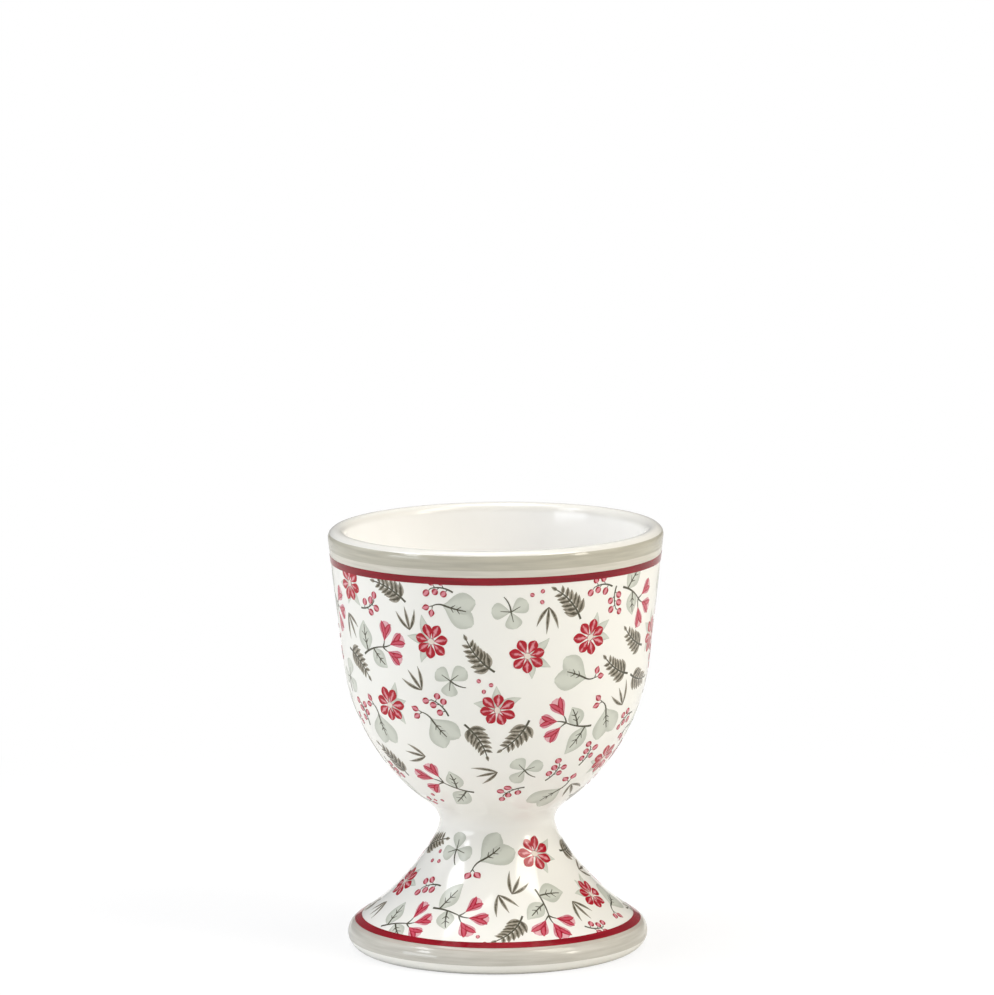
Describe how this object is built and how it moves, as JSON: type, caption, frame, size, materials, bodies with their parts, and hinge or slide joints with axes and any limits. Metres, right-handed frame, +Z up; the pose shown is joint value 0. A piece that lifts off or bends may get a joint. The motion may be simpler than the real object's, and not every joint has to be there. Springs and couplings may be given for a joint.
{
  "type": "egg cup",
  "caption": "Footed egg cup in glazed white ware: an egg-shaped bowl stuck with slip to a hollow flared foot, with coloured bands fired into the glaze.",
  "frame": {"origin": "centre of the standing ring, on the surface that the cup stands on", "axes": "+Z is up along the axis of the bowl and the foot; the cup is round, and +X is any direction across it"},
  "size_m": [0.05, 0.05, 0.0636],
  "materials": {
    "glazed_white": "gloss glaze",
    "glazed_white_foot": "gloss glaze, standing ring bare",
    "fired_slip": "glazed over",
    "grey_glaze": "gloss glaze",
    "pale_glaze": "gloss glaze",
    "red_enamel": "gloss enamel"
  },
  "bodies": {
    "root": {"bowl": "glazed_white", "foot": "glazed_white_foot", "slip_joint": "fired_slip", "rim_band": "grey_glaze", "rim_margin": "pale_glaze", "rim_line": "red_enamel", "foot_line": "red_enamel", "foot_margin": "pale_glaze", "foot_band": "grey_glaze"}
  },
  "joints": []
}
